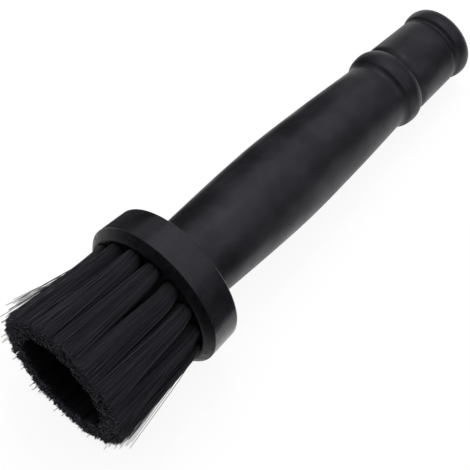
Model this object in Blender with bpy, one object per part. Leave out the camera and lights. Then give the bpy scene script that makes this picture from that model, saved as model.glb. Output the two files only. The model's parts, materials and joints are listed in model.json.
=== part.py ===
"""Wheel nut cleaning brush, lying on its side as it is put down.

A ring of bristle tufts is stapled into a round moulded head. The head's
spigot plugs the hollow moulded handle, which has a collar, a pommel and an
end flange. Every piece is drawn along its own axis: local Z runs from the
bristle tips to the end of the handle, and Z = 0 is the front of the head.
One empty lays the whole brush down on its head and its end flange.
"""

import math
import random

import bmesh
import bpy
from mathutils import Matrix, Vector

MM = 0.001

# Head
HEAD_RADIUS = 30.4 * MM
HEAD_THICKNESS = 16.0 * MM
HEAD_BAND_TAPER = 0.8 * MM
HEAD_FRONT_EDGE_DEPTH = 3.2 * MM
HEAD_FRONT_EDGE_INSET = 3.5 * MM
HEAD_FRONT_EDGE_SLOPE = 2.7 * MM
HEAD_BACK_EDGE = 0.9 * MM
SPIGOT_LENGTH = 14.0 * MM
SPIGOT_LEAD_IN = 1.0 * MM

# Tufts and their holes
TUFT_COUNT = 16
TUFT_RING_TURN = 0.25
TUFT_CIRCLE_INSET = 7.4 * MM
HOLE_RADIUS = 3.5 * MM
HOLE_FLOOR = 6.0 * MM
TUFT_SINK = 0.4 * MM
STRANDS_PER_TUFT = 24
STRAND_ROOT_RADIUS = 0.42 * MM
STRAND_TIP_RADIUS = 0.62 * MM
STRAND_OVERLAP = 1.5 * MM
BRISTLE_LENGTH = 44.5 * MM
BRISTLE_RAGGEDNESS = 1.6 * MM
TIP_SPREAD_INWARDS = 3.4 * MM
TIP_SPREAD_OUTWARDS = 6.3 * MM
TIP_SIDE_GAP = 0.5 * MM
TIP_SQUARENESS = 0.75
SPLAY_AT_MIDDLE = 0.42

# Staple anchors
ANCHOR_THICKNESS = 0.6 * MM
ANCHOR_HEIGHT = 2.4 * MM
FOLD_THICKNESS = 2.0 * MM

# Handle
GRIP_ROOT_RADIUS = 16.5 * MM
GRIP_SWELL_RADIUS = 17.8 * MM
GRIP_SWELL_SHARE = 0.45
GRIP_SHOULDER_RADIUS = 16.4 * MM
GRIP_SHOULDER_SHARE = 0.74
GRIP_NECK_RADIUS = 14.2 * MM
GRIP_LENGTH = 115.8 * MM
HANDLE_WALL = 3.5 * MM
BORE_END_MARGIN = 4.0 * MM
COLLAR_LENGTH = 10.3 * MM
COLLAR_RADIUS = 16.4 * MM
POMMEL_LENGTH = 23.2 * MM
POMMEL_FRONT_RADIUS = 15.0 * MM
POMMEL_BACK_RADIUS = 14.3 * MM
POMMEL_EDGE = 1.2 * MM
POMMEL_GROOVE_RADIUS = 14.2 * MM
END_GROOVE_RADIUS = 12.8 * MM
FLANGE_THICKNESS = 8.0 * MM
FLANGE_RADIUS = 15.2 * MM
END_FACE_RADIUS = 12.0 * MM

# Fits
FIT_GAP = 0.2 * MM
STAPLE_GAP = 0.2 * MM

# Facets of the round pieces: one of them faces the floor
SIDES = 24
HOLE_SIDES = 16
GRIP_STEPS = 14
BEAD_STEPS = 8
BEAD_FULLNESS = 0.8
EDGE_STEPS = 4

# Places along the axis, worked out from the lengths above
HANDLE_START = HEAD_THICKNESS + FIT_GAP
GRIP_END = HANDLE_START + GRIP_LENGTH
COLLAR_END = GRIP_END + COLLAR_LENGTH
POMMEL_END = COLLAR_END + POMMEL_LENGTH
HANDLE_END = POMMEL_END + FLANGE_THICKNESS
GRIP_SWELL_AT = HANDLE_START + GRIP_LENGTH * GRIP_SWELL_SHARE
GRIP_SHOULDER_AT = HANDLE_START + GRIP_LENGTH * GRIP_SHOULDER_SHARE
BORE_RADIUS = GRIP_ROOT_RADIUS - HANDLE_WALL
SPIGOT_RADIUS = BORE_RADIUS - FIT_GAP
HOLE_DEPTH = HEAD_THICKNESS - HOLE_FLOOR
TUFT_CIRCLE_RADIUS = HEAD_RADIUS - TUFT_CIRCLE_INSET
TUFT_RADIUS = HOLE_RADIUS - FIT_GAP
TIP_RING_INNER_RADIUS = TUFT_CIRCLE_RADIUS - TIP_SPREAD_INWARDS
TIP_RING_OUTER_RADIUS = TUFT_CIRCLE_RADIUS + TIP_SPREAD_OUTWARDS


def clear_scene():
    """Remove every object of the open file."""
    for thing in list(bpy.data.objects):
        bpy.data.objects.remove(thing, do_unlink=True)


def material(name, colour, roughness, metallic=0.0):
    """A plain Principled material."""
    made = bpy.data.materials.new(name)
    made.use_nodes = True
    shader = made.node_tree.nodes["Principled BSDF"]
    shader.inputs["Base Color"].default_value = (*colour, 1.0)
    shader.inputs["Roughness"].default_value = roughness
    shader.inputs["Metallic"].default_value = metallic
    return made


def new_object(name, mesh_builder, finish=None, parent=None):
    """An object with the mesh that the builder leaves behind."""
    mesh = bpy.data.meshes.new(name)
    bmesh.ops.recalc_face_normals(mesh_builder, faces=mesh_builder.faces)
    mesh_builder.to_mesh(mesh)
    mesh_builder.free()
    made = bpy.data.objects.new(name, mesh)
    bpy.context.scene.collection.objects.link(made)
    made.parent = parent
    if finish:
        mesh.materials.append(finish)
    return made


def helper(made):
    """Mark an object as a tool of a Boolean, not a piece of the brush."""
    made.hide_render = True
    made.display_type = "WIRE"
    return made


def add_boolean(target, tool, operation):
    """A Boolean that stays on the target."""
    step = target.modifiers.new(f"{operation.lower()}_{tool.name}", "BOOLEAN")
    step.operation = operation
    step.solver = "EXACT"
    step.object = tool


def arc(centre, radii, start, end, steps):
    """Points (z, r) of an elliptical arc, angles in degrees from +Z towards +r."""
    points = []
    for step in range(steps + 1):
        angle = math.radians(start + (end - start) * step / steps)
        points.append((centre[0] + radii[0] * math.cos(angle), centre[1] + radii[1] * math.sin(angle)))
    return points


def bend(first, corner, last, steps):
    """Points (z, r) on a curve that leaves and arrives along the lines to a corner."""
    points = []
    for step in range(steps + 1):
        t = step / steps
        weights = ((1 - t) ** 2, 2 * t * (1 - t), t**2)
        points.append(tuple(sum(w * p[axis] for w, p in zip(weights, (first, corner, last))) for axis in (0, 1)))
    return points


def bead(start, end, foot, top, back_foot, steps=BEAD_STEPS):
    """Points (z, r) over a full, slightly flattened bead between two grooves."""
    middle = (start + end) / 2
    half = (end - start) / 2
    points = []
    for step in range(steps + 1):
        angle = math.pi * step / steps
        base = foot if step < steps / 2 else back_foot
        rise = math.sin(angle) ** BEAD_FULLNESS
        points.append((middle - half * math.cos(angle), base + (top - base) * rise))
    return points


def smooth_radius(stations, z):
    """Radius at a place on a smooth curve through a few (z, r) stations."""
    span = sum(1 for station in stations[1:-1] if z > station[0])
    slopes = []
    for place in (span, span + 1):
        before = stations[max(place - 1, 0)]
        after = stations[min(place + 1, len(stations) - 1)]
        slopes.append((after[1] - before[1]) / (after[0] - before[0]))
    (z0, r0), (z1, r1) = stations[span], stations[span + 1]
    width = z1 - z0
    t = (z - z0) / width
    from_first = (2 * t**3 - 3 * t**2 + 1) * r0 + (t**3 - 2 * t**2 + t) * width * slopes[0]
    from_second = (3 * t**2 - 2 * t**3) * r1 + (t**3 - t**2) * width * slopes[1]
    return from_first + from_second


def revolve(profile, sides=SIDES):
    """A closed solid turned about Z from a profile that starts and ends on it.

    The flats of its sides lie at the radius of the profile.
    """
    made = bmesh.new()
    half_facet = math.pi / sides
    rings = []
    for z, r in profile:
        if r <= 0:
            rings.append([made.verts.new((0, 0, z))])
            continue
        corner = r / math.cos(half_facet)
        ring = []
        for side in range(sides):
            angle = half_facet + 2 * half_facet * side
            ring.append(made.verts.new((corner * math.cos(angle), corner * math.sin(angle), z)))
        rings.append(ring)
    for first, second in zip(rings, rings[1:]):
        for side in range(sides):
            after = (side + 1) % sides
            corners = [first[side % len(first)], first[after % len(first)],
                       second[after % len(second)], second[side % len(second)]]
            made.faces.new(list(dict.fromkeys(corners)))
    return made


def grip_stations():
    """The few places that shape the grip."""
    return [(HANDLE_START, GRIP_ROOT_RADIUS), (GRIP_SWELL_AT, GRIP_SWELL_RADIUS),
            (GRIP_SHOULDER_AT, GRIP_SHOULDER_RADIUS), (GRIP_END, GRIP_NECK_RADIUS)]


def grip_radius(z):
    """Outer radius of the grip at a place along the axis."""
    return smooth_radius(grip_stations(), z)


def grip_outline():
    """Points (z, r) along the outside of the grip."""
    places = [HANDLE_START + GRIP_LENGTH * step / GRIP_STEPS for step in range(GRIP_STEPS + 1)]
    return [(z, grip_radius(z)) for z in places]


def handle_profile():
    """Outside of the handle, from its open end to its flat end, then its bore."""
    outside = grip_outline()
    outside += bead(GRIP_END, COLLAR_END, GRIP_NECK_RADIUS, COLLAR_RADIUS, POMMEL_GROOVE_RADIUS)[1:]
    outside += arc((COLLAR_END + POMMEL_EDGE, POMMEL_GROOVE_RADIUS),
                   (POMMEL_EDGE, POMMEL_FRONT_RADIUS - POMMEL_GROOVE_RADIUS), 180, 90, EDGE_STEPS)[1:]
    outside += arc((POMMEL_END - 3 * POMMEL_EDGE, END_GROOVE_RADIUS),
                   (3 * POMMEL_EDGE, POMMEL_BACK_RADIUS - END_GROOVE_RADIUS), 90, 0, EDGE_STEPS)
    outside += bead(POMMEL_END, HANDLE_END, END_GROOVE_RADIUS, FLANGE_RADIUS, END_FACE_RADIUS)[1:]
    outside += [(HANDLE_END, 0)]
    bore_end = GRIP_END - BORE_END_MARGIN
    spigot_end = HANDLE_START + SPIGOT_LENGTH + 2 * FIT_GAP
    bore = [(bore_end, 0), (bore_end, grip_radius(bore_end) - HANDLE_WALL),
            (GRIP_SHOULDER_AT, min(grip_radius(GRIP_SHOULDER_AT) - HANDLE_WALL, BORE_RADIUS)),
            (spigot_end, BORE_RADIUS), (HANDLE_START, BORE_RADIUS)]
    return bore + outside


def build_handle(finish, parent):
    """One hollow moulding: grip, collar, pommel and end flange."""
    return new_object("handle", revolve(handle_profile()), finish, parent)


def head_profile():
    """Front face with a sloping, rounded edge, tapering band, back face and spigot.

    The slope of the front edge meets the band in a crisp line.
    """
    face_radius = HEAD_RADIUS - HEAD_FRONT_EDGE_INSET
    back_radius = HEAD_RADIUS - HEAD_BAND_TAPER
    spigot_end = HANDLE_START + SPIGOT_LENGTH
    profile = [(0, 0)]
    profile += bend((0, face_radius), (0, HEAD_RADIUS - HEAD_FRONT_EDGE_SLOPE),
                    (HEAD_FRONT_EDGE_DEPTH, HEAD_RADIUS), EDGE_STEPS)
    profile += arc((HEAD_THICKNESS - HEAD_BACK_EDGE, back_radius - HEAD_BACK_EDGE),
                   (HEAD_BACK_EDGE, HEAD_BACK_EDGE), 90, 0, 2)
    profile += [(HEAD_THICKNESS, SPIGOT_RADIUS), (spigot_end - SPIGOT_LEAD_IN, SPIGOT_RADIUS),
                (spigot_end, SPIGOT_RADIUS - SPIGOT_LEAD_IN), (spigot_end, 0)]
    return profile


def tuft_place(index):
    """Where a tuft stands: its own frame, with X away from the axis of the brush."""
    turn = Matrix.Rotation(2 * math.pi * (index + TUFT_RING_TURN) / TUFT_COUNT, 4, "Z")
    return turn @ Matrix.Translation((TUFT_CIRCLE_RADIUS, 0, 0))


def add_cylinder(made, low, high, radius, sides, place=None):
    """A closed cylinder along Z, added to a mesh."""
    middle = Matrix.Translation((0, 0, (low + high) / 2))
    bmesh.ops.create_cone(made, cap_ends=True, segments=sides, radius1=radius, radius2=radius,
                          depth=high - low, matrix=(place or Matrix.Identity(4)) @ middle)


def build_head(finish, parent):
    """The round head with one blind hole for each tuft."""
    head = new_object("head_block", revolve(head_profile()), finish, parent)
    holes = bmesh.new()
    for index in range(TUFT_COUNT):
        add_cylinder(holes, -FIT_GAP * 5, HOLE_DEPTH, HOLE_RADIUS, HOLE_SIDES, tuft_place(index))
    add_boolean(head, helper(new_object("tuft_holes", holes, None, parent)), "DIFFERENCE")
    return head


def squared(u, v):
    """A point of the unit disc moved towards the unit square."""
    root = 2 * math.sqrt(2)
    across = u * u - v * v
    x = (math.sqrt(max(2 + across + root * u, 0)) - math.sqrt(max(2 + across - root * u, 0))) / 2
    y = (math.sqrt(max(2 - across + root * v, 0)) - math.sqrt(max(2 - across - root * v, 0))) / 2
    return (u + (x - u) * TIP_SQUARENESS, v + (y - v) * TIP_SQUARENESS)


def strand_points(index, chance):
    """Root, middle and tip of one strand, in the frame of its tuft."""
    share = math.sqrt((index + 0.5) / STRANDS_PER_TUFT)
    angle = index * math.pi * (3 - math.sqrt(5))
    u, v = share * math.sin(angle), share * math.cos(angle)
    reach = TUFT_RADIUS - STRAND_ROOT_RADIUS
    root = Vector((reach * v, reach * u, TUFT_SINK + STRAND_OVERLAP))
    wide, deep = squared(u, v)
    ring_middle = (TIP_RING_INNER_RADIUS + TIP_RING_OUTER_RADIUS) / 2
    ring_half = (TIP_RING_OUTER_RADIUS - TIP_RING_INNER_RADIUS) / 2 - STRAND_TIP_RADIUS
    radius = ring_middle + ring_half * deep
    side_room = radius * math.pi / TUFT_COUNT - TIP_SIDE_GAP / 2 - STRAND_TIP_RADIUS
    turn = side_room * wide / radius
    length = BRISTLE_LENGTH - chance.uniform(0, BRISTLE_RAGGEDNESS)
    tip = Vector((radius * math.cos(turn) - TUFT_CIRCLE_RADIUS, radius * math.sin(turn), -length))
    middle = root.lerp(tip, SPLAY_AT_MIDDLE)
    middle.z = root.z + (tip.z - root.z) * 0.5
    return [root, middle, tip]


def add_strand(made, points, turn):
    """A strand of three sides through its points, closed at both ends."""
    rings = []
    for step, point in enumerate(points):
        share = step / (len(points) - 1)
        radius = STRAND_ROOT_RADIUS + (STRAND_TIP_RADIUS - STRAND_ROOT_RADIUS) * share
        ring = []
        for side in range(3):
            angle = turn + 2 * math.pi * side / 3
            corner = Vector((radius * math.cos(angle), radius * math.sin(angle), 0))
            ring.append(made.verts.new(point + corner))
        rings.append(ring)
    for first, second in zip(rings, rings[1:]):
        for side in range(3):
            after = (side + 1) % 3
            made.faces.new((first[side], first[after], second[after], second[side]))
    made.faces.new(rings[0])
    made.faces.new(rings[-1])


def build_tuft(index, finish, parent):
    """Bristles folded round their anchor: the root in its hole and the strands in front."""
    chance = random.Random(index)
    plug = bmesh.new()
    add_cylinder(plug, TUFT_SINK, HOLE_DEPTH - FIT_GAP, TUFT_RADIUS, HOLE_SIDES)
    tuft = new_object(f"tuft_{index + 1:02d}", plug, finish, parent)
    strands = bmesh.new()
    for strand in range(STRANDS_PER_TUFT):
        add_strand(strands, strand_points(strand, chance), chance.uniform(0, 2 * math.pi))
    strands = helper(new_object(f"strands_{index + 1:02d}", strands, None, parent))
    window = bmesh.new()
    add_block(window, 2 * HOLE_RADIUS + FIT_GAP, ANCHOR_THICKNESS + 2 * STAPLE_GAP,
              ANCHOR_HEIGHT + 2 * STAPLE_GAP, anchor_middle())
    window = helper(new_object(f"fold_window_{index + 1:02d}", window, None, parent))
    for made in (tuft, strands, window):
        made.matrix_local = tuft_place(index)
    add_boolean(tuft, strands, "UNION")
    add_boolean(tuft, window, "DIFFERENCE")
    return tuft


def anchor_middle():
    """Height of an anchor's middle in its hole, above the fold of its tuft."""
    return HOLE_DEPTH - FIT_GAP - FOLD_THICKNESS - STAPLE_GAP - ANCHOR_HEIGHT / 2


def add_block(made, length, width, height, middle):
    """A block along X and Y, centred on the axis at a height."""
    bmesh.ops.create_cube(made, size=1.0, matrix=Matrix.Translation((0, 0, middle))
                          @ Matrix.Diagonal((length, width, height, 1.0)))


def build_anchor(index, finish, parent):
    """The flat metal staple that holds a tuft in its hole."""
    length = 2 * math.sqrt((HOLE_RADIUS * math.cos(math.pi / HOLE_SIDES) - STAPLE_GAP) ** 2
                           - (ANCHOR_THICKNESS / 2) ** 2)
    plate = bmesh.new()
    add_block(plate, length, ANCHOR_THICKNESS, ANCHOR_HEIGHT, anchor_middle())
    anchor = new_object(f"anchor_{index + 1:02d}", plate, finish, parent)
    anchor.matrix_local = tuft_place(index)
    return anchor


def lay_down():
    """The empty that lays the brush on a facet of its head and of its end flange."""
    flange_top = POMMEL_END + FLANGE_THICKNESS / 2
    tilt = max(math.atan2(radius - FLANGE_RADIUS, flange_top - z) for z, radius in head_profile())
    frame = bpy.data.objects.new("lying_brush", None)
    bpy.context.scene.collection.objects.link(frame)
    frame.matrix_world = Matrix.Rotation(math.pi / 2 + tilt, 4, "Y")
    return frame


def centre_on_floor(frame):
    """Move the brush so that its box stands on Z = 0, with the origin below its middle."""
    bpy.context.view_layer.update()
    points = []
    for piece in frame.children:
        if piece.name.startswith(("tuft_holes", "fold_window")):
            continue
        points += [piece.matrix_world @ vertex.co for vertex in piece.data.vertices]
    for axis in (0, 1):
        frame.location[axis] -= (min(p[axis] for p in points) + max(p[axis] for p in points)) / 2
    frame.location.z -= min(point.z for point in points)
    bpy.context.view_layer.update()


def main():
    clear_scene()
    plastic = material("black_moulded_plastic", (0.020, 0.020, 0.024), 0.42)
    bristle = material("black_nylon_bristle", (0.013, 0.012, 0.017), 0.55)
    steel = material("staple_steel", (0.55, 0.55, 0.56), 0.35, 1.0)
    frame = lay_down()
    build_handle(plastic, frame)
    build_head(plastic, frame)
    for index in range(TUFT_COUNT):
        build_tuft(index, bristle, frame)
        build_anchor(index, steel, frame)
    centre_on_floor(frame)


main()
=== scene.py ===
"""The looks of the wheel nut cleaning brush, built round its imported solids.

Every piece is modelled along the brush's own axis, as the solids are: local Z
runs from the bristle tips to the end of the handle, and Z = 0 is the front of
the head. The frame's mount on the end of the handle gives where that axis
lies.
"""

import json
import math

import bmesh
import bpy
import numpy as np
from mathutils import Matrix, Vector


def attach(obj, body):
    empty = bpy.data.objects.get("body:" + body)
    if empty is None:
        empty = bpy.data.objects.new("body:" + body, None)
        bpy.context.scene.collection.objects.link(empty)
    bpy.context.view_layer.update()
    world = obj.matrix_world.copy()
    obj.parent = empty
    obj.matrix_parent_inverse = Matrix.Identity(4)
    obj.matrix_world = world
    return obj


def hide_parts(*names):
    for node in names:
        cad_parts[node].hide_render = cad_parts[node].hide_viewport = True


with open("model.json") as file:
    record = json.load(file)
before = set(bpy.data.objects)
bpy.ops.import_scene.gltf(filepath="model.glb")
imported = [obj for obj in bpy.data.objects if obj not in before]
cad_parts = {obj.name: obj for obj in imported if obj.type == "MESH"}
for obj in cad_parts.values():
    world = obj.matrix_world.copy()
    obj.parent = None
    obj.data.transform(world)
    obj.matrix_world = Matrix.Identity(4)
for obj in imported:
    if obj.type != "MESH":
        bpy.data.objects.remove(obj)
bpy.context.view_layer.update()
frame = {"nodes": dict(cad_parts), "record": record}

MM = 0.001

# Head
HEAD_RADIUS = 30.4 * MM
HEAD_THICKNESS = 16.0 * MM
HEAD_BAND_TAPER = 0.8 * MM
HEAD_FRONT_EDGE_DEPTH = 3.2 * MM
HEAD_FRONT_EDGE_INSET = 3.5 * MM
HEAD_FRONT_EDGE_SLOPE = 2.7 * MM
HEAD_BACK_EDGE = 0.9 * MM
EDGE_LINE = 0.12 * MM
SPIGOT_LENGTH = 14.0 * MM
SPIGOT_LEAD_IN = 1.0 * MM

# Tufts and their holes
TUFT_COUNT = 16
TUFT_RING_TURN = 0.25
TUFT_CIRCLE_RADIUS = 23.0 * MM
HOLE_RADIUS = 3.5 * MM
HOLE_DEPTH = 10.0 * MM
HOLE_CHAMFER = 0.35 * MM
BRISTLE_LENGTH = 44.5 * MM
TIP_RING_INNER_RADIUS = 19.4 * MM
TIP_RING_OUTER_RADIUS = 29.3 * MM

# Filaments
FILAMENTS_PER_TUFT = 850
FILAMENT_RADIUS = 0.15 * MM
FILAMENT_SIDES = 4
FILAMENT_STEPS = 8
STEP_CROWDING = 1.3
BOW = 0.1 * MM
CUT_SLANT = 0.06 * MM
FIRST_SEED = 100

# How the filaments leave their holes, where two tufts bow away from each other
ROOT_DEPTH = 2.5 * MM
ROOT_SWELL = 0.17
ROOT_SWELL_SHARE = 0.05
ROOT_BOWS = {8: -0.5 * MM, 9: 0.5 * MM}
ROOT_BOW_SHARE = 0.15

# How they spread to their tips
SPLAY_OUT_POWER = 1.1
SPLAY_ACROSS_POWER = 1.1
TIP_OVERLAP = 1.04
TIP_SQUARENESS = 0.8
TIP_SCATTER = 0.45 * MM
TIP_TURN_SCATTER = 0.012
TIP_RAGGEDNESS = 1.1 * MM
TIP_LEAN = (0.45 * MM, -1.1 * MM)
TIP_LEAN_SHARE = 0.09

# The loose clumps in a tuft, and how far a clump scatters as one
CLUMPS_PER_TUFT = 14
CLUMP_PULL = 0.13
CLUMP_SCATTER = 0.5
CLUMP_RAGGEDNESS = 0.4

# The side of the ring where the filaments are longest, and how they differ there
LONG_SIDE = math.radians(205)
LONG_SIDE_EXTRA = 1.8 * MM
EXTRA_LENGTH = 0.3 * MM
INNER_RING_SHIFT = 1.5 * MM

# Filaments that stand off, and how far out they may reach at the top, left and right
STRAYS_PER_TUFT = 8
STRAY_RADIUS = 0.12 * MM
STRAY_SEAT = 0.9
STRAY_SPREAD = 0.8
STRAY_WIDENING = 0.35
STRAY_LEAVE_SHARES = (0.02, 0.5)
STRAY_OFFSET = 4.0 * MM
STRAY_OFFSET_SHARES = (0.3, 1)
STRAY_LIFT_POWER = 0.85
STRAY_SLIDE = 1.1 * MM
STRAY_LENGTH_SHARES = (0.86, 0.99)
STRAY_LIMITS = (29.0 * MM, 32.6 * MM, 30.7 * MM)

# Handle
GRIP_ROOT_RADIUS = 16.5 * MM
GRIP_SWELL_RADIUS = 17.8 * MM
GRIP_SWELL_SHARE = 0.45
GRIP_SHOULDER_RADIUS = 16.4 * MM
GRIP_SHOULDER_SHARE = 0.74
GRIP_NECK_RADIUS = 14.2 * MM
GRIP_LENGTH = 115.8 * MM
HANDLE_WALL = 3.5 * MM
BORE_END_MARGIN = 4.0 * MM
COLLAR_LENGTH = 10.3 * MM
COLLAR_RADIUS = 16.4 * MM
POMMEL_LENGTH = 23.2 * MM
POMMEL_FRONT_RADIUS = 15.0 * MM
POMMEL_BACK_RADIUS = 14.3 * MM
POMMEL_EDGE_LENGTH = 3.6 * MM
POMMEL_LEAD_IN = 2.4 * MM
POMMEL_GROOVE_RADIUS = 14.2 * MM
END_GROOVE_RADIUS = 12.8 * MM
FLANGE_THICKNESS = 8.0 * MM
FLANGE_RADIUS = 15.2 * MM
END_FACE_RADIUS = 12.0 * MM
BEAD_FULLNESS = 0.8
COLLAR_BACK_FULLNESS = 1.7

# Fits
FIT_GAP = 0.2 * MM

# Soft curves in the crevices of the handle
CREVICE_REACH = 1.9 * MM

# How fine the round pieces are, and the angles from which their edges stay sharp
SIDES = 180
GRIP_STEPS = 120
BEAD_STEPS = 32
EDGE_STEPS = 10
HOLE_SIDES = 40
HANDLE_SHARP_ANGLE = math.radians(35)
HEAD_SHARP_ANGLE = math.radians(15)
FILAMENT_SHARP_ANGLE = math.radians(50)

# Places that follow from the sizes
HANDLE_START = HEAD_THICKNESS + FIT_GAP
GRIP_SWELL = HANDLE_START + GRIP_LENGTH * GRIP_SWELL_SHARE
GRIP_SHOULDER = HANDLE_START + GRIP_LENGTH * GRIP_SHOULDER_SHARE
GRIP_END = HANDLE_START + GRIP_LENGTH
COLLAR_END = GRIP_END + COLLAR_LENGTH
POMMEL_END = COLLAR_END + POMMEL_LENGTH
HANDLE_END = POMMEL_END + FLANGE_THICKNESS
SPIGOT_END = HANDLE_START + SPIGOT_LENGTH
BORE_RADIUS = GRIP_ROOT_RADIUS - HANDLE_WALL
SPIGOT_RADIUS = BORE_RADIUS - FIT_GAP
TUFT_RADIUS = HOLE_RADIUS - FIT_GAP
HEAD_FACE_MIDDLE_RADIUS = TUFT_CIRCLE_RADIUS - 2 * HOLE_RADIUS

# The camera: its focal length in widths of the picture, where the middle of
# the head's front shows in it, how far that is, and how it looks down
PICTURE_WIDTH = 470
FOCAL_WIDTHS = 1700 / PICTURE_WIDTH
HEAD_IN_PICTURE = (-88.0 / PICTURE_WIDTH, -65.95 / PICTURE_WIDTH)
HEAD_DISTANCE = 610.5 * MM
CAMERA_AZIMUTH = math.radians(-48.19)
CAMERA_ELEVATION = math.radians(59.90)
SENSOR = 36.0

# Materials: a noise is given by its waves a metre, detail and roughness, a
# bump by its strength and depth, and tones by their dark and their pale colour
NOISE_RANGE = (0.3, 0.7)
PLASTIC_COLOUR = (0.0045, 0.0043, 0.0064)
PLASTIC_TINT = (0.93, 0.9, 1.0, 1)

# Plastic of the handle
HANDLE_GLOSS = 0.34
HANDLE_PLAIN_ROUGHNESS = 0.42
HANDLE_ROUGHNESS = (0.32, 0.46)
HANDLE_BLOTCHES = (75, 4, 0.5)
HANDLE_BLOTCH_RANGE = (0.38, 0.62)
HANDLE_TONES = ((0.0105, 0.0101, 0.0135), (0.026, 0.0251, 0.0312))
HANDLE_CLOUDS = (45, 3, 0.5)
HANDLE_WAVES = (38, 2, 0.5)
HANDLE_WAVE_BUMP = (1.0, 1.6 * MM)
HANDLE_GRAIN = (1500, 2, 0.5)
HANDLE_GRAIN_BUMP = (0.1, 0.1 * MM)

# Plastic of the head's band
HEAD_GLOSS = 0.4
HEAD_PLAIN_ROUGHNESS = 0.25
HEAD_ROUGHNESS = (0.19, 0.34)
HEAD_RUBS = (130, 4, 0.6)
HEAD_RUB_RANGE = (0.35, 0.7)
HEAD_TONES = ((0.008, 0.0077, 0.0105), (0.018, 0.0173, 0.0225))
HEAD_WAVES = (90, 2, 0.5)
HEAD_WAVE_BUMP = (0.4, 0.5 * MM)
HEAD_SCRATCHES = (900, 3, 0.6)
HEAD_SCRATCH_BUMP = (0.45, 0.1 * MM)
SCRATCH_SQUEEZE = 0.09

# Dull plastic of the head's edge and front, darkened in blotches as painted shade from the tufts
EDGE_GLOSS = 0.13
FRONT_GLOSS = 0.06
DULL_SHADED_COLOUR = (0.003, 0.0029, 0.0045)
DULL_PLAIN_ROUGHNESS = 0.6
DULL_ROUGHNESS = (0.3, 0.5)
DULL_BLOTCHES = (420, 4, 0.6)
DULL_BLOTCH_RANGE = (0.35, 0.7)
PAINTED_SHADE_RANGE = (0.4, 0.75)
PAINTED_SHADE_TONES = ((0.0022, 0.0021, 0.0034), (0.009, 0.0087, 0.012))
DULL_GRAIN = (900, 3, 0.5)
DULL_GRAIN_BUMP = (0.2, 0.1 * MM)

# Nylon, with painted shade that darkens it by its root and inside the ring, and painted light that pales
# it to its tip
NYLON_GLOSS = 0.33
NYLON_COLOUR = (0.009, 0.0085, 0.012)
NYLON_PLAIN_ROUGHNESS = 0.5
NYLON_ROUGHNESS = (0.42, 0.62)
NYLON_TONES = ((0.011, 0.0103, 0.014), (0.026, 0.0245, 0.032))
NYLON_GRAIN = (2500, 2, 0.5)
NYLON_GRAIN_BUMP = (0.2, 0.05 * MM)
ROOT_SHADE_START = 0.5 * MM
ROOT_SHADE_END = 6.0 * MM
ROOT_SHADE = 0.15
TIP_PAINTED_LIGHT = 1.8
INSIDE_SHADE_START = 20.5 * MM
INSIDE_SHADE_END = 24.5 * MM
INSIDE_SHADE = 0.35

# Cut ends of the nylon, paler than its sides partly from their frosting and partly as painted light
CUT_COLOUR = (0.05, 0.048, 0.06)
CUT_PLAIN_ROUGHNESS = 0.7
CUT_ROUGHNESS = (0.6, 0.85)
CUT_TONES = ((0.1, 0.094, 0.115), (0.2, 0.19, 0.225))
CUT_GRAIN = (6000, 2, 0.5)

# Steel of the anchors
STEEL_COLOUR = (0.52, 0.52, 0.53)
STEEL_PLAIN_ROUGHNESS = 0.35
STEEL_ROUGHNESS = (0.28, 0.45)
STEEL_GRAIN = (900, 2, 0.5)

# The studio, in metres: lamps and room by their brightness, where 1 is white
FLOOR_HALF = 12.0
FLOOR_COLOUR = (0.85, 0.85, 0.85)
FLOOR_GLOW = 0.89
FLOOR_SHADOW = (0.21, 0.21, 0.21)
MATT_ROUGHNESS = 0.9
ROOM_LIGHT = 0.28
ROOM_SLOPE = (0.07, 0.14, 0)
SOFTBOX_SPOT = (0.43, -0.4, 1.0)
SOFTBOX_SIZE = (1.54, 2.7)
SOFTBOX_LIGHT = 0.63
LAMP_SPOT = (0.79, 0.52, 2.9)
LAMP_SIZE = (0.3, 0.3)
LAMP_LIGHT = 21.0

# Dark cards, seen only in reflections as painted shade there: where each starts and ends along X, its
# place along Y and its height
FAR_CARD_ENDS = (-0.048, 0.1)
FAR_CARD_PLACE = 0.055
FAR_CARD_HEIGHT = 0.07
NEAR_CARD_ENDS = (-0.12, 0.022)
END_CARD_ENDS = (0.1, 0.3)
NEAR_CARD_PLACE = -0.065
NEAR_CARD_HEIGHT = 0.05
CARD_GREY = (0.25, 0.25, 0.25)


def brush_frame(record):
    """The matrix from the brush's own axis to the frame, from the mount on its end."""
    mount = next(m for m in record["mounts"] if m["name"] == "handle_end_face")
    along = Vector(mount["axis"]).normalized()
    across = Vector((0, 1, 0)).cross(along).normalized()
    turn = Matrix((across, along.cross(across), along)).transposed().to_4x4()
    return Matrix.Translation(Vector(mount["pos_m"]) - along * HANDLE_END) @ turn


def link(name, data, place=None):
    """A new object for a lamp, a camera or a mesh, which is moved to its place first."""
    if place is not None:
        data.transform(place)
    made = bpy.data.objects.new(name, data)
    bpy.context.scene.collection.objects.link(made)
    return made


def arc(centre, radii, start, end, steps=EDGE_STEPS):
    """Points (z, r) of an elliptical arc, angles in degrees from +Z towards +r."""
    points = []
    for step in range(steps + 1):
        angle = math.radians(start + (end - start) * step / steps)
        points.append((centre[0] + radii[0] * math.cos(angle), centre[1] + radii[1] * math.sin(angle)))
    return points


def bend(first, corner, last, steps=EDGE_STEPS):
    """Points (z, r) on a curve that leaves and arrives along the lines to a corner."""
    points = []
    for step in range(steps + 1):
        t = step / steps
        weights = ((1 - t) ** 2, 2 * t * (1 - t), t**2)
        pull = list(zip(weights, (first, corner, last)))
        points.append(tuple(sum(weight * point[axis] for weight, point in pull) for axis in (0, 1)))
    return points


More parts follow.
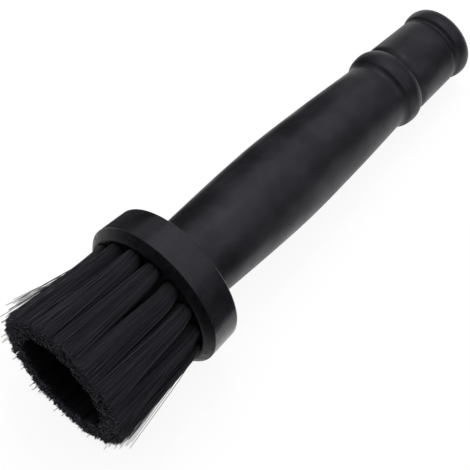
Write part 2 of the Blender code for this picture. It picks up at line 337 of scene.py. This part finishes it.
def bead(start, end, foot, top, back_foot, back_fullness, steps=BEAD_STEPS):
    """Points (z, r) over a bead between two grooves, full in front and full or sloping behind."""
    middle = (start + end) / 2
    half = (end - start) / 2
    points = []
    for step in range(steps + 1):
        angle = math.pi * step / steps
        base, fullness = (foot, BEAD_FULLNESS) if step < steps / 2 else (back_foot, back_fullness)
        height = (top - base) * math.sin(angle) ** fullness
        points.append((middle - half * math.cos(angle), base + height))
    return points


def filleted(before, after):
    """Two outlines that meet in a crevice, joined by a soft curve."""
    corner = after[0]
    reach = {point: math.dist(point, corner) for point in before + after}
    kept = [point for point in before if reach[point] > CREVICE_REACH]
    rest = [point for point in after if reach[point] > CREVICE_REACH]
    return kept[:-1] + bend(kept[-1], corner, rest[0]) + rest[1:]


def lead_in(start, end, foot, top, steps=EDGE_STEPS):
    """Points (z, r) up a slope that eases off towards its top."""
    points = []
    for step in range(1, steps + 1):
        share = step / steps
        height = (top - foot) * math.sin(math.pi / 2 * share)
        points.append((start + (end - start) * share, foot + height))
    return points


def smooth_radius(stations, z):
    """Radius at a place on a smooth curve through a few (z, r) stations."""
    span = sum(1 for station in stations[1:-1] if z > station[0])
    slopes = []
    for place in (span, span + 1):
        before = stations[max(place - 1, 0)]
        after = stations[min(place + 1, len(stations) - 1)]
        slopes.append((after[1] - before[1]) / (after[0] - before[0]))
    (z0, r0), (z1, r1) = stations[span], stations[span + 1]
    width = z1 - z0
    t = (z - z0) / width
    from_first = (2 * t**3 - 3 * t**2 + 1) * r0 + (t**3 - 2 * t**2 + t) * width * slopes[0]
    from_second = (3 * t**2 - 2 * t**3) * r1 + (t**3 - t**2) * width * slopes[1]
    return from_first + from_second


def circle(made, middle, z, radius, sides):
    """New points round a line along Z."""
    angles = [2 * math.pi * side / sides for side in range(sides)]
    x, y = middle
    return [made.verts.new((x + radius * math.cos(a), y + radius * math.sin(a), z)) for a in angles]


def finished(made, mesh):
    """A mesh filled from its modelled form, with its faces pointing out."""
    bmesh.ops.recalc_face_normals(made, faces=made.faces)
    made.to_mesh(mesh)
    made.free()
    return mesh


def revolve(name, profile, sides=SIDES):
    """A closed mesh turned about Z from a profile that starts and ends on it."""
    made = bmesh.new()
    rings = []
    for z, r in profile:
        if r <= 0:
            rings.append([made.verts.new((0, 0, z))])
        else:
            rings.append(circle(made, (0, 0), z, r, sides))
    for first, second in zip(rings, rings[1:]):
        for side in range(sides):
            after = (side + 1) % sides
            corners = [first[side % len(first)], first[after % len(first)],
                       second[after % len(second)], second[side % len(second)]]
            made.faces.new(list(dict.fromkeys(corners)))
    return finished(made, bpy.data.meshes.new(name))


def shade(mesh, sharp_angle):
    """Smooth shading with the edges over an angle kept sharp."""
    mesh.shade_smooth()
    mesh.set_sharp_from_angle(angle=sharp_angle)


def grip_radius(z):
    """Outer radius of the grip at a place along the axis."""
    return smooth_radius([(HANDLE_START, GRIP_ROOT_RADIUS), (GRIP_SWELL, GRIP_SWELL_RADIUS),
                          (GRIP_SHOULDER, GRIP_SHOULDER_RADIUS), (GRIP_END, GRIP_NECK_RADIUS)], z)


def bore_profile():
    """The bore of the handle from its closed end to the head, straight where the spigot goes."""
    bore_end = GRIP_END - BORE_END_MARGIN
    straight_end = SPIGOT_END + 2 * FIT_GAP
    return [(bore_end, 0), (bore_end, grip_radius(bore_end) - HANDLE_WALL),
            (GRIP_SHOULDER, min(grip_radius(GRIP_SHOULDER) - HANDLE_WALL, BORE_RADIUS)),
            (straight_end, BORE_RADIUS), (HANDLE_START, BORE_RADIUS)]


def handle_profile():
    """The bore of the handle, then its outside from the head to the flat end."""
    places = [HANDLE_START + GRIP_LENGTH * step / GRIP_STEPS for step in range(GRIP_STEPS + 1)]
    profile = bore_profile() + [(z, grip_radius(z)) for z in places]
    collar = bead(GRIP_END, COLLAR_END, GRIP_NECK_RADIUS, COLLAR_RADIUS,
                  POMMEL_GROOVE_RADIUS, COLLAR_BACK_FULLNESS)
    profile = filleted(profile, collar)
    profile += lead_in(COLLAR_END, COLLAR_END + POMMEL_LEAD_IN, POMMEL_GROOVE_RADIUS, POMMEL_FRONT_RADIUS)
    profile += arc((POMMEL_END - POMMEL_EDGE_LENGTH, END_GROOVE_RADIUS),
                   (POMMEL_EDGE_LENGTH, POMMEL_BACK_RADIUS - END_GROOVE_RADIUS), 90, 0)
    flange = bead(POMMEL_END, HANDLE_END, END_GROOVE_RADIUS, FLANGE_RADIUS, END_FACE_RADIUS, BEAD_FULLNESS)
    profile = filleted(profile, flange)
    profile += [(HANDLE_END, 0)]
    return profile


def head_profile():
    """Front face with a rounded edge, tapering band, back face and spigot."""
    face_radius = HEAD_RADIUS - HEAD_FRONT_EDGE_INSET
    back_radius = HEAD_RADIUS - HEAD_BAND_TAPER
    slope = math.atan2(HEAD_FRONT_EDGE_SLOPE, HEAD_FRONT_EDGE_DEPTH)
    taper = math.atan2(HEAD_BAND_TAPER, HEAD_THICKNESS - HEAD_FRONT_EDGE_DEPTH)
    rim = (HEAD_FRONT_EDGE_DEPTH, HEAD_RADIUS)
    edge = bend((0, face_radius), (0, HEAD_RADIUS - HEAD_FRONT_EDGE_SLOPE), rim)
    profile = [(0, 0), (0, HEAD_FACE_MIDDLE_RADIUS)] + edge[:-1]
    profile += [(rim[0] - EDGE_LINE * math.cos(slope), rim[1] - EDGE_LINE * math.sin(slope)),
                (rim[0] + EDGE_LINE * math.cos(taper), rim[1] - EDGE_LINE * math.sin(taper))]
    profile += arc((HEAD_THICKNESS - HEAD_BACK_EDGE, back_radius - HEAD_BACK_EDGE),
                   (HEAD_BACK_EDGE, HEAD_BACK_EDGE), 90, 0)
    profile += [(HEAD_THICKNESS, SPIGOT_RADIUS), (SPIGOT_END - SPIGOT_LEAD_IN, SPIGOT_RADIUS),
                (SPIGOT_END, SPIGOT_RADIUS - SPIGOT_LEAD_IN), (SPIGOT_END, 0)]
    return profile


def tuft_turn(index):
    """Angle of a tuft round the axis."""
    return 2 * math.pi * (index + TUFT_RING_TURN) / TUFT_COUNT


def cut(target, tool):
    """Cut one object out of another and remove the tool."""
    step = target.modifiers.new("cut", "BOOLEAN")
    step.operation = "DIFFERENCE"
    step.solver = "EXACT"
    step.object = tool
    bpy.context.view_layer.update()
    shown = target.evaluated_get(bpy.context.evaluated_depsgraph_get())
    mesh = bpy.data.meshes.new_from_object(shown)
    target.modifiers.clear()
    target.data = mesh
    bpy.data.objects.remove(tool, do_unlink=True)


def build_handle(place, finish):
    """The hollow moulded handle."""
    mesh = revolve("moulded_handle", handle_profile())
    mesh.materials.append(finish)
    shade(mesh, HANDLE_SHARP_ANGLE)
    handle = link("moulded_handle", mesh, place)
    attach(handle, "root")
    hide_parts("handle")


def hole_cutter():
    """One mesh with every tuft hole, each with a small cone for the chamfer at its mouth."""
    profile = ((-2 * HOLE_CHAMFER, HOLE_RADIUS + 3 * HOLE_CHAMFER), (HOLE_CHAMFER, HOLE_RADIUS),
               (HOLE_DEPTH, HOLE_RADIUS))
    made = bmesh.new()
    for index in range(TUFT_COUNT):
        angle = tuft_turn(index)
        middle = (TUFT_CIRCLE_RADIUS * math.cos(angle), TUFT_CIRCLE_RADIUS * math.sin(angle))
        rings = [circle(made, middle, z, r, HOLE_SIDES) for z, r in profile]
        for first, second in zip(rings, rings[1:]):
            for side in range(HOLE_SIDES):
                after = (side + 1) % HOLE_SIDES
                made.faces.new((first[side], first[after], second[after], second[side]))
        made.faces.new(rings[0])
        made.faces.new(rings[-1])
    return finished(made, bpy.data.meshes.new("holes"))


def build_head(place, finishes):
    """The moulded head with its holes, in the finishes of its band, its front edge and its front."""
    head = link("moulded_head", revolve("moulded_head", head_profile()), place)
    cut(head, link("holes", hole_cutter(), place))
    head.data.materials.clear()
    for finish in finishes:
        head.data.materials.append(finish)
    back = place.inverted()
    # The front edge and the front take the darker, dull finishes that carry the painted shade from the
    # tufts
    limits = (HEAD_FRONT_EDGE_DEPTH - EDGE_LINE, EDGE_LINE)
    for face in head.data.polygons:
        depth = (back @ face.center).z
        face.material_index = sum(depth < limit for limit in limits)
    shade(head.data, HEAD_SHARP_ANGLE)
    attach(head, "root")
    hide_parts("head_block")


def spread(count, turn=0.0):
    """Points (u, v) spread evenly over the unit disc, as the seeds of a sunflower are."""
    order = np.arange(count)
    share = np.sqrt((order + 0.5) / count)
    angle = order * math.pi * (3 - math.sqrt(5)) + turn
    return share * np.sin(angle), share * np.cos(angle)


def root_gap(base, part):
    """Half the gap between the square roots of a sum and of a difference."""
    return (np.sqrt(np.maximum(base + part, 0)) - np.sqrt(np.maximum(base - part, 0))) / 2


def squared(u, v):
    """Points of the unit disc moved towards the unit square."""
    root = 2 * math.sqrt(2)
    across = u * u - v * v
    x = root_gap(2 + across, root * u)
    y = root_gap(2 - across, root * v)
    return u + (x - u) * TIP_SQUARENESS, v + (y - v) * TIP_SQUARENESS


def clumps(u, v, chance):
    """Which of a few loose clumps each filament of a tuft belongs to, and where that clump lies."""
    middle_u, middle_v = spread(CLUMPS_PER_TUFT, chance.uniform(0, 2 * math.pi))
    gaps = np.hypot(u[:, None] - middle_u, v[:, None] - middle_v)
    clump = np.argmin(gaps, axis=1)
    return clump, middle_u[clump], middle_v[clump]


def steps_along(length):
    """Each step along filaments: its number, its place on the axis and its share of the free length."""
    for step in range(FILAMENT_STEPS + 1):
        along = (step / FILAMENT_STEPS) ** STEP_CROWDING
        z = ROOT_DEPTH - (ROOT_DEPTH + length) * along
        yield step, z, np.clip(-z / length, 0, 1)


def filament_paths(index, chance):
    """Points of every filament of one tuft, as an array of filaments by steps by 3."""
    u, v = spread(FILAMENTS_PER_TUFT)
    clump, clump_u, clump_v = clumps(u, v, chance)
    wide, deep = squared(u + (clump_u - u) * CLUMP_PULL, v + (clump_v - v) * CLUMP_PULL)
    own_out, own_turn, own_cut, own_bow_out, own_bow_across = chance.normal(0, 1, (5, FILAMENTS_PER_TUFT))
    shared_out, shared_turn, shared_cut, shared_bow = chance.normal(0, 1, (4, CLUMPS_PER_TUFT))[:, clump]
    tip_turn = math.pi / TUFT_COUNT * TIP_OVERLAP * wide
    tip_turn = tip_turn + TIP_TURN_SCATTER * (CLUMP_SCATTER * shared_turn + own_turn)
    long_side = np.cos(tuft_turn(index) + tip_turn - LONG_SIDE)
    inner_radius = TIP_RING_INNER_RADIUS - INNER_RING_SHIFT * long_side
    ring_middle = (inner_radius + TIP_RING_OUTER_RADIUS) / 2
    ring_half = (TIP_RING_OUTER_RADIUS - inner_radius) / 2 - FILAMENT_RADIUS
    tip_radius = ring_middle + ring_half * deep + TIP_SCATTER * (CLUMP_SCATTER * shared_out + own_out)
    tip_out = tip_radius * np.cos(tip_turn)
    tip_across = tip_radius * np.sin(tip_turn)
    length = BRISTLE_LENGTH - TIP_RAGGEDNESS * (np.abs(own_cut) + CLUMP_RAGGEDNESS * np.abs(shared_cut))
    length = length + EXTRA_LENGTH + LONG_SIDE_EXTRA * long_side
    root_bow = ROOT_BOWS.get(index, 0)
    bow_out = BOW * (own_bow_out + shared_bow)
    bow_across = BOW * (own_bow_across + shared_out)
    reach = TUFT_RADIUS - FILAMENT_RADIUS
    paths = np.zeros((FILAMENTS_PER_TUFT, FILAMENT_STEPS + 1, 3))
    for step, z, outside in steps_along(length):
        swell = 1 + ROOT_SWELL * (1 - np.exp(-outside / ROOT_SWELL_SHARE))
        root_out = TUFT_CIRCLE_RADIUS + reach * v * swell
        root_across = reach * u * swell
        bowed = np.sin(math.pi * outside)
        near_root = outside / ROOT_BOW_SHARE * np.exp(1 - outside / ROOT_BOW_SHARE)
        out = root_out + (tip_out - root_out) * outside**SPLAY_OUT_POWER
        across = root_across + (tip_across - root_across) * outside**SPLAY_ACROSS_POWER
        paths[:, step, 0] = out + bow_out * bowed
        paths[:, step, 1] = across + bow_across * bowed + root_bow * near_root
        paths[:, step, 2] = z
    return leaned(turned(paths, tuft_turn(index)))


def leaned(paths):
    """Paths that lean to one side, as the bristles of a used brush do."""
    outside = np.clip(-paths[..., 2] / BRISTLE_LENGTH, 0, 1)
    lean = 1 - np.exp(-outside / TIP_LEAN_SHARE)
    paths[..., 0] += TIP_LEAN[0] * lean
    paths[..., 1] += TIP_LEAN[1] * lean
    return paths


def turned(paths, turn):
    """Paths turned round the axis."""
    out = paths[..., 0] * math.cos(turn) - paths[..., 1] * math.sin(turn)
    across = paths[..., 0] * math.sin(turn) + paths[..., 1] * math.cos(turn)
    return np.stack([out, across, paths[..., 2]], axis=-1)


def stray_paths(index, chance):
    """A few filaments on the outside of a tuft that stand off from the rest."""
    count = STRAYS_PER_TUFT
    turn = tuft_turn(index)
    top, left, right = STRAY_LIMITS
    side = left if math.sin(turn) > 0 else right
    limit = min(side / abs(math.sin(turn)), top / abs(math.cos(turn)))
    furthest = min(STRAY_OFFSET, limit - TIP_RING_OUTER_RADIUS)
    across = chance.uniform(-STRAY_SPREAD, STRAY_SPREAD, count)
    leaves = chance.uniform(*STRAY_LEAVE_SHARES, count)
    off = chance.uniform(*STRAY_OFFSET_SHARES, count) * furthest
    slide = chance.normal(0, STRAY_SLIDE, count)
    length = BRISTLE_LENGTH * chance.uniform(*STRAY_LENGTH_SHARES, count)
    start_out = TUFT_CIRCLE_RADIUS + TUFT_RADIUS * np.sqrt(1 - across**2) * STRAY_SEAT
    paths = np.zeros((count, FILAMENT_STEPS + 1, 3))
    for step, z, outside in steps_along(length):
        away = np.clip((outside - leaves) / (1 - leaves), 0, 1)
        out = start_out + (TIP_RING_OUTER_RADIUS - start_out) * outside**SPLAY_OUT_POWER
        paths[:, step, 0] = out + off * away**STRAY_LIFT_POWER
        paths[:, step, 1] = TUFT_RADIUS * across * (1 + STRAY_WIDENING * outside) + slide * away
        paths[:, step, 2] = z
    return leaned(turned(paths, turn))


def filament_faces(count, rings):
    """Corners of the walls of every filament, then of the root ends, then of the tips."""
    sides = FILAMENT_SIDES
    first = (np.arange(count) * rings * sides)[:, None, None]
    ring = (np.arange(rings - 1) * sides)[None, :, None]
    side = np.arange(sides)[None, None, :]
    after = (side + 1) % sides
    walls = np.stack([first + ring + side, first + ring + sides + side,
                      first + ring + sides + after, first + ring + after], axis=-1).reshape(-1, 4)
    roots = first[:, 0] + np.arange(sides)
    tips = first[:, 0] + (rings - 1) * sides + np.arange(sides)[::-1]
    return walls.tolist() + roots.tolist() + tips.tolist()


def filament_mesh(name, paths, radii, chance):
    """One mesh of filaments with cut tips that follow their paths, each of its own radius."""
    count, rings = paths.shape[:2]
    turn = chance.uniform(0, 2 * math.pi, (count, 1, 1))
    turn = turn + 2 * math.pi * np.arange(FILAMENT_SIDES) / FILAMENT_SIDES
    points = np.repeat(paths[:, :, None, :], FILAMENT_SIDES, axis=2)
    points[..., 0] += radii * np.cos(turn)
    points[..., 1] += radii * np.sin(turn)
    slant = chance.uniform(-1, 1, (count, 1)) * CUT_SLANT
    points[:, -1, :, 2] += slant * np.cos(turn[:, 0])
    faces = filament_faces(count, rings)
    mesh = bpy.data.meshes.new(name)
    mesh.from_pydata(points.reshape(-1, 3).tolist(), [], faces)
    kinds = np.zeros(len(faces), dtype=np.int32)
    kinds[-count:] = 1
    mesh.polygons.foreach_set("material_index", kinds)
    mesh.validate()
    made = bmesh.new()
    made.from_mesh(mesh)
    shade(finished(made, mesh), FILAMENT_SHARP_ANGLE)
    return mesh


def build_tufts(place, finishes):
    """Sixteen tufts, each a bundle of fine filaments with a few that stand off."""
    for index in range(TUFT_COUNT):
        chance = np.random.default_rng(FIRST_SEED + index)
        name = f"bristles_{index + 1:02d}"
        paths = np.concatenate([filament_paths(index, chance), stray_paths(index, chance)])
        radii = np.repeat((FILAMENT_RADIUS, STRAY_RADIUS), (FILAMENTS_PER_TUFT, STRAYS_PER_TUFT))
        mesh = filament_mesh(name, paths, radii[:, None, None], chance)
        for finish in finishes:
            mesh.materials.append(finish)
        tuft = link(name, mesh, place)
        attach(tuft, "root")
        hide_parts(f"tuft_{index + 1:02d}")


def node(tree, kind, **values):
    """A shader node with its inputs and properties set."""
    made = tree.nodes.new(kind)
    for key, value in values.items():
        if key in made.inputs:
            made.inputs[key].default_value = value
        else:
            setattr(made, key, value)
    return made


def principled(name, colour, roughness, metallic=0.0):
    """A material with a Principled shader, ready for its details."""
    made = bpy.data.materials.new(name)
    made.use_nodes = True
    shader = made.node_tree.nodes["Principled BSDF"]
    shader.inputs["Base Color"].default_value = (*colour, 1)
    shader.inputs["Roughness"].default_value = roughness
    shader.inputs["Metallic"].default_value = metallic
    return made, made.node_tree, shader


def noise(tree, texture, where=None):
    """Noise over the frame's coordinates, or others, by its waves a metre, detail and roughness."""
    scale, detail, roughness = texture
    made = node(tree, "ShaderNodeTexNoise", Scale=scale, Detail=detail, Roughness=roughness)
    if where is None:
        where = node(tree, "ShaderNodeTexCoord").outputs["Object"]
    tree.links.new(where, made.inputs["Vector"])
    return made.outputs["Fac"]


def map_range(tree, source, before, after):
    """A value moved from one range to another."""
    made = node(tree, "ShaderNodeMapRange")
    for socket, value in zip(("From Min", "From Max", "To Min", "To Max"), (*before, *after)):
        made.inputs[socket].default_value = value
    tree.links.new(source, made.inputs["Value"])
    return made.outputs["Result"]


def tones(tree, source, span, colours):
    """A colour that goes from dark to pale as a value goes through a range."""
    made = node(tree, "ShaderNodeValToRGB")
    for stop, place, colour in zip(made.color_ramp.elements, span, colours):
        stop.position = place
        stop.color = (*colour, 1)
    tree.links.new(source, made.inputs["Fac"])
    return made.outputs["Color"]


def bump(tree, height, strength, depth, below=None):
    """A bump of a real depth in metres, over another one if there is one."""
    made = node(tree, "ShaderNodeBump", Strength=strength, Distance=depth)
    tree.links.new(height, made.inputs["Height"])
    if below is not None:
        tree.links.new(below, made.inputs["Normal"])
    return made.outputs["Normal"]


def combined(tree, operation, first, second, clamped=False):
    """Two values added or multiplied."""
    made = node(tree, "ShaderNodeMath", operation=operation, use_clamp=clamped)
    tree.links.new(first, made.inputs[0])
    tree.links.new(second, made.inputs[1])
    return made.outputs[0]


def along_brush(tree, place, squeeze):
    """Coordinates in the brush's own frame, squeezed along its axis."""
    made = node(tree, "ShaderNodeMapping")
    back = place.inverted()
    made.inputs["Location"].default_value = back.translation
    made.inputs["Rotation"].default_value = back.to_euler()
    tree.links.new(node(tree, "ShaderNodeTexCoord").outputs["Object"], made.inputs["Vector"])
    drawn = node(tree, "ShaderNodeVectorMath", operation="MULTIPLY")
    drawn.inputs[1].default_value = (1, 1, squeeze)
    tree.links.new(made.outputs["Vector"], drawn.inputs[0])
    return drawn.outputs["Vector"]


def plastic(name, colour, gloss, roughness):
    """Black plastic with a slightly blue gloss."""
    made, tree, shader = principled(name, colour, roughness)
    shader.inputs["Specular IOR Level"].default_value = gloss
    shader.inputs["Specular Tint"].default_value = PLASTIC_TINT
    return made, tree, shader


def handle_plastic():
    """Satin plastic: a little wavy and blotchy, with a fine grain."""
    made, tree, shader = plastic("handle_plastic", PLASTIC_COLOUR, HANDLE_GLOSS, HANDLE_PLAIN_ROUGHNESS)
    blotches = noise(tree, HANDLE_BLOTCHES)
    clouds = noise(tree, HANDLE_CLOUDS)
    waves = bump(tree, noise(tree, HANDLE_WAVES), *HANDLE_WAVE_BUMP)
    grain = bump(tree, noise(tree, HANDLE_GRAIN), *HANDLE_GRAIN_BUMP, waves)
    tree.links.new(tones(tree, blotches, HANDLE_BLOTCH_RANGE, HANDLE_TONES), shader.inputs["Base Color"])
    tree.links.new(map_range(tree, clouds, NOISE_RANGE, HANDLE_ROUGHNESS), shader.inputs["Roughness"])
    tree.links.new(grain, shader.inputs["Normal"])
    return made


def head_plastic(place):
    """Glossier plastic with fine scratches along the brush and dull, rubbed patches."""
    made, tree, shader = plastic("head_plastic", PLASTIC_COLOUR, HEAD_GLOSS, HEAD_PLAIN_ROUGHNESS)
    rubbed = noise(tree, HEAD_RUBS)
    scratches = noise(tree, HEAD_SCRATCHES, along_brush(tree, place, SCRATCH_SQUEEZE))
    waves = bump(tree, noise(tree, HEAD_WAVES), *HEAD_WAVE_BUMP)
    tree.links.new(tones(tree, rubbed, HEAD_RUB_RANGE, HEAD_TONES), shader.inputs["Base Color"])
    tree.links.new(map_range(tree, rubbed, HEAD_RUB_RANGE, HEAD_ROUGHNESS), shader.inputs["Roughness"])
    tree.links.new(bump(tree, scratches, *HEAD_SCRATCH_BUMP, waves), shader.inputs["Normal"])
    return made


def dull_plastic(name, gloss):
    """The head's front and its edge, dull and darkened in blotches as painted shade from the tufts."""
    made, tree, shader = plastic(name, DULL_SHADED_COLOUR, gloss, DULL_PLAIN_ROUGHNESS)
    front_blotches = noise(tree, DULL_BLOTCHES)
    grain = bump(tree, noise(tree, DULL_GRAIN), *DULL_GRAIN_BUMP)
    tree.links.new(tones(tree, front_blotches, PAINTED_SHADE_RANGE, PAINTED_SHADE_TONES), shader.inputs["Base Color"])
    tree.links.new(map_range(tree, front_blotches, DULL_BLOTCH_RANGE, DULL_ROUGHNESS), shader.inputs["Roughness"])
    tree.links.new(grain, shader.inputs["Normal"])
    return made


def nylon_painted_shade_and_light(tree, place):
    """Painted shade and light on the filaments: darker by the root and inside the ring, and paler to the
    tip.
    """
    split = node(tree, "ShaderNodeSeparateXYZ")
    tree.links.new(along_brush(tree, place, 1), split.inputs[0])
    along = split.outputs["Z"]
    by_root = map_range(tree, along, (-ROOT_SHADE_END, -ROOT_SHADE_START), (1, ROOT_SHADE))
    painted_tip_light = map_range(tree, along, (-BRISTLE_LENGTH, -ROOT_SHADE_END), (TIP_PAINTED_LIGHT, 1))
    from_axis = node(tree, "ShaderNodeVectorMath", operation="LENGTH")
    tree.links.new(along_brush(tree, place, 0), from_axis.inputs[0])
    inside = map_range(tree, from_axis.outputs["Value"], (INSIDE_SHADE_START, INSIDE_SHADE_END),
                       (INSIDE_SHADE, 1))
    return combined(tree, "MULTIPLY", combined(tree, "MULTIPLY", by_root, painted_tip_light), inside)


def nylon(place):
    """Black nylon, each filament of its own tone, with painted shade and light by where it lies on the
    brush.
    """
    made, tree, shader = plastic("black_bristle", NYLON_COLOUR, NYLON_GLOSS, NYLON_PLAIN_ROUGHNESS)
    each = node(tree, "ShaderNodeNewGeometry").outputs["Random Per Island"]
    shaded = node(tree, "ShaderNodeVectorMath", operation="SCALE")
    grain = bump(tree, noise(tree, NYLON_GRAIN), *NYLON_GRAIN_BUMP)
    tree.links.new(tones(tree, each, (0, 1), NYLON_TONES), shaded.inputs[0])
    tree.links.new(nylon_painted_shade_and_light(tree, place), shaded.inputs["Scale"])
    tree.links.new(shaded.outputs["Vector"], shader.inputs["Base Color"])
    tree.links.new(map_range(tree, each, (0, 1), NYLON_ROUGHNESS), shader.inputs["Roughness"])
    tree.links.new(grain, shader.inputs["Normal"])
    return made


def cut_nylon():
    """The frosted ends where the filaments were cut, paler partly from the frosting and partly as painted
    light.
    """
    made, tree, shader = principled("cut_bristle_tips", CUT_COLOUR, CUT_PLAIN_ROUGHNESS)
    shader.inputs["Specular IOR Level"].default_value = NYLON_GLOSS
    each = node(tree, "ShaderNodeNewGeometry").outputs["Random Per Island"]
    grain = noise(tree, CUT_GRAIN)
    tree.links.new(tones(tree, each, (0, 1), CUT_TONES), shader.inputs["Base Color"])
    tree.links.new(map_range(tree, grain, NOISE_RANGE, CUT_ROUGHNESS), shader.inputs["Roughness"])
    return made


def staple_steel():
    """Bare drawn steel of the hidden anchors."""
    made, tree, shader = principled("staple_steel", STEEL_COLOUR, STEEL_PLAIN_ROUGHNESS, 1.0)
    drawn = noise(tree, STEEL_GRAIN)
    tree.links.new(map_range(tree, drawn, NOISE_RANGE, STEEL_ROUGHNESS), shader.inputs["Roughness"])
    return made


def dress_anchors(nodes, finish):
    """The anchors keep their solids and get a better material."""
    for index in range(TUFT_COUNT):
        anchor = nodes[f"anchor_{index + 1:02d}"]
        for slot in anchor.material_slots:
            slot.material = finish


def camera(place):
    """The photograph's view: from beside the bristles, looking down, with a long lens."""
    data = bpy.data.cameras.new("camera")
    data.sensor_width = SENSOR
    data.lens = SENSOR * FOCAL_WIDTHS
    made = link("camera", data)
    right = Vector((math.cos(CAMERA_AZIMUTH), math.sin(CAMERA_AZIMUTH), 0))
    level = Vector((-math.sin(CAMERA_AZIMUTH), math.cos(CAMERA_AZIMUTH), 0))
    ahead = level * math.cos(CAMERA_ELEVATION) - Vector((0, 0, math.sin(CAMERA_ELEVATION)))
    up = right.cross(ahead)
    offset = (right * HEAD_IN_PICTURE[0] + up * HEAD_IN_PICTURE[1]) / FOCAL_WIDTHS + ahead
    spot = place.translation - offset * HEAD_DISTANCE
    made.matrix_world = Matrix.Translation(spot) @ Matrix((right, up, -ahead)).transposed().to_4x4()
    bpy.context.scene.camera = made


def floor_paint():
    """A white floor that keeps a soft shadow, and shows white to the camera and in reflections."""
    made, tree, shader = principled("floor_white", FLOOR_COLOUR, MATT_ROUGHNESS)
    path = node(tree, "ShaderNodeLightPath")
    glow = node(tree, "ShaderNodeEmission", Strength=FLOOR_GLOW)
    matt = node(tree, "ShaderNodeBsdfDiffuse", Color=(*FLOOR_SHADOW, 1))
    white = node(tree, "ShaderNodeAddShader")
    mix = node(tree, "ShaderNodeMixShader")
    camera_or_glossy = combined(tree, "ADD", path.outputs["Is Camera Ray"], path.outputs["Is Glossy Ray"])
    seen = combined(tree, "ADD", camera_or_glossy, path.outputs["Is Transmission Ray"], True)
    tree.links.new(glow.outputs[0], white.inputs[0])
    tree.links.new(matt.outputs[0], white.inputs[1])
    tree.links.new(seen, mix.inputs[0])
    tree.links.new(shader.outputs[0], mix.inputs[1])
    tree.links.new(white.outputs[0], mix.inputs[2])
    tree.links.new(mix.outputs[0], tree.nodes["Material Output"].inputs["Surface"])
    return made


def room():
    """Soft grey light from the room, brighter beyond the handle than before the bristles."""
    world = bpy.data.worlds.new("studio")
    world.use_nodes = True
    bpy.context.scene.world = world
    tree = world.node_tree
    where = node(tree, "ShaderNodeTexCoord")
    slope = node(tree, "ShaderNodeVectorMath", operation="DOT_PRODUCT")
    slope.inputs[1].default_value = ROOM_SLOPE
    tree.links.new(where.outputs["Generated"], slope.inputs[0])
    tree.nodes["Background"].inputs["Color"].default_value = (1, 1, 1, 1)
    strength = map_range(tree, slope.outputs["Value"], (-ROOM_LIGHT, ROOM_LIGHT), (0, 2 * ROOM_LIGHT))
    tree.links.new(strength, tree.nodes["Background"].inputs["Strength"])


def dark_card(name, ends, beside, height):
    """A low dark card beside the brush that only its gloss sees, which paints shade into the reflections
    on that side.
    """
    left, right = ends
    corners = [(left, beside, 0), (right, beside, 0), (right, beside, height), (left, beside, height)]
    mesh = bpy.data.meshes.new(name)
    mesh.from_pydata(corners, [], [(0, 1, 2, 3)])
    mesh.materials.append(principled(name, CARD_GREY, MATT_ROUGHNESS)[0])
    card = link(name, mesh)
    card.visible_camera = False
    card.visible_diffuse = False
    card.visible_shadow = False
    card.visible_transmission = False


def lamp(name, spot, size, brightness):
    """A flat lamp that hangs at a spot and looks straight down."""
    width, height = size
    data = bpy.data.lights.new(name, "AREA")
    data.shape = "RECTANGLE"
    data.size = width
    data.size_y = height
    data.energy = brightness * math.pi * width * height
    made = link(name, data)
    made.location = spot
    made.visible_camera = False


def studio():
    """A white floor under a large soft lamp and a small one, in a softly lit room."""
    half = FLOOR_HALF
    corners = [(-half, -half, 0), (half, -half, 0), (half, half, 0), (-half, half, 0)]
    mesh = bpy.data.meshes.new("floor")
    mesh.from_pydata(corners, [], [(0, 1, 2, 3)])
    mesh.materials.append(floor_paint())
    floor = link("floor", mesh)
    room()
    lamp("overhead_softbox", SOFTBOX_SPOT, SOFTBOX_SIZE, SOFTBOX_LIGHT)
    lamp("small_bright_lamp", LAMP_SPOT, LAMP_SIZE, LAMP_LIGHT)
    dark_card("far_dark_card", FAR_CARD_ENDS, FAR_CARD_PLACE, FAR_CARD_HEIGHT)
    dark_card("near_dark_card", NEAR_CARD_ENDS, NEAR_CARD_PLACE, NEAR_CARD_HEIGHT)
    dark_card("end_dark_card", END_CARD_ENDS, NEAR_CARD_PLACE, NEAR_CARD_HEIGHT)
    bpy.context.scene.view_settings.view_transform = "Standard"


def main():
    """Build every piece, then the camera and the studio."""
    place = brush_frame(frame["record"])
    build_handle(place, handle_plastic())
    edge_finish = dull_plastic("head_edge_plastic", EDGE_GLOSS)
    front_finish = dull_plastic("head_front_plastic", FRONT_GLOSS)
    build_head(place, (head_plastic(place), edge_finish, front_finish))
    build_tufts(place, (nylon(place), cut_nylon()))
    dress_anchors(frame["nodes"], staple_steel())
    camera(place)
    studio()


main()
